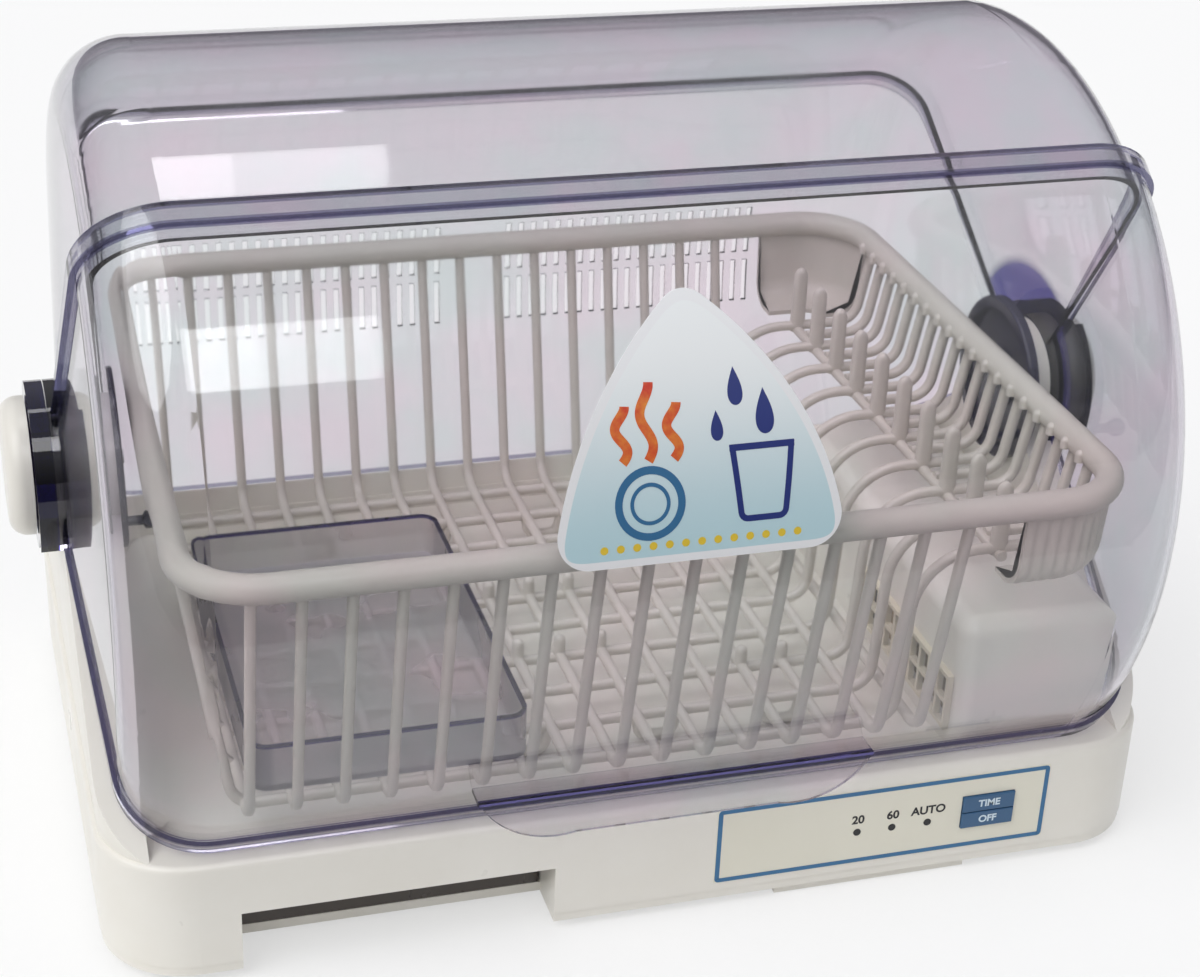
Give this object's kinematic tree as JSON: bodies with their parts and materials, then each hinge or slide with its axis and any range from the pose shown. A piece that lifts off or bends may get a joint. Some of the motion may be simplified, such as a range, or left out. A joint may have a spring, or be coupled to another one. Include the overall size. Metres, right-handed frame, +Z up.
{
  "type": "dish dryer",
  "caption": "Countertop dish dryer with a see-through swing-open dome, dish basket, cutlery tray, drip tray and a warm-air blower in a white base.",
  "frame": {"origin": "centre of the bounding box on the floor plane", "axes": "+Z up, +X to the right seen from the front, the front faces -Y"},
  "size_m": [0.54, 0.382, 0.367],
  "materials": {
    "housing_white": "moulded ABS, semi-gloss warm white",
    "basket_grey": "moulded polypropylene, satin warm grey-white",
    "cutlery_clear": "moulded clear plastic, smoky lavender tint, darker than the covers",
    "cover_clear": "moulded clear plastic, smoky lavender tint",
    "pivot_dark": "moulded plastic, dark indigo",
    "tray_smoke": "moulded plastic, dark smoke brown",
    "panel_print": "printed polyester overlay, cream",
    "button_blue": "moulded plastic, blue",
    "lens_dark": "moulded plastic, dark tint",
    "foot_rubber": "moulded rubber",
    "screw_steel": "zinc-plated steel",
    "pin_nylon": "turned nylon",
    "label_film": "printed film",
    "board_green": "coated laminate",
    "power_black": "moulded plastic",
    "lamp_red": "cast resin",
    "grille_cream": "moulded ABS, cream",
    "motor_zinc": "zinc-coated can",
    "fan_black": "moulded glass-filled plastic",
    "heater_mica": "mica board",
    "heater_alu": "stamped fins",
    "bush_black": "moulded rubber"
  },
  "bodies": {
    "base": {"base_housing": "housing_white", "bottom_plate": "housing_white", "rubber_feet": "foot_rubber", "base_screws": "screw_steel", "control_panel": "panel_print", "tact_switches": "power_black", "indicator_lenses": "lens_dark", "status_lamps": "lamp_red", "control_board": "board_green", "board_screws": "screw_steel", "power_parts": "power_black", "rear_cover": "cover_clear", "hinge_pin_left": "pin_nylon", "hinge_pin_right": "pin_nylon", "hinge_cap_left": "housing_white", "hinge_cap_right": "housing_white", "pivot_plate_left": "pivot_dark", "pivot_plate_right": "pivot_dark", "stop_pins": "pin_nylon", "hinge_screws": "screw_steel", "dish_basket": "basket_grey", "fan_housing": "fan_black", "fan_motor": "motor_zinc", "heater_frame": "heater_mica", "heater_fins": "heater_alu", "air_grille": "grille_cream", "cord_inlet": "bush_black"},
    "drip_tray": {"drip_tray": "tray_smoke"},
    "time_button": {"time_button": "button_blue"},
    "off_button": {"off_button": "button_blue"},
    "upper_cover": {"upper_cover": "cover_clear"},
    "front_lid": {"front_lid": "cover_clear", "lid_handle": "cover_clear", "lid_label": "label_film"},
    "cutlery_tray": {"cutlery_tray": "cutlery_clear"},
    "fan_wheel": {"fan_wheel": "fan_black"}
  },
  "joints": [
    {"name": "lid_hinge", "type": "hinge", "parent": "base", "child": "front_lid", "pos_m": [0, 0.004, 0.176], "axis": [-1, 0, 0], "range_deg": [0, 105]},
    {"name": "upper_cover_hinge", "type": "hinge", "parent": "base", "child": "upper_cover", "pos_m": [0, 0.004, 0.176], "axis": [-1, 0, 0], "range_deg": [0, 65]},
    {"name": "drip_tray_slide", "type": "slide", "parent": "base", "child": "drip_tray", "axis": [0, -1, 0], "range_m": [0, 0.15]},
    {"name": "cutlery_tray_lift", "type": "slide", "parent": "base", "child": "cutlery_tray", "axis": [0, 0, 1], "range_m": [0, 0.15]},
    {"name": "time_button_press", "type": "slide", "parent": "base", "child": "time_button", "axis": [0, 1, 0], "range_m": [0, 0.001], "stiffness_N_per_m": 600},
    {"name": "off_button_press", "type": "slide", "parent": "base", "child": "off_button", "axis": [0, 1, 0], "range_m": [0, 0.001], "stiffness_N_per_m": 600},
    {"name": "fan_spin", "type": "hinge", "parent": "base", "child": "fan_wheel", "pos_m": [0.19, 0.028, 0.064], "axis": [1, 0, 0], "continuous": true}
  ]
}
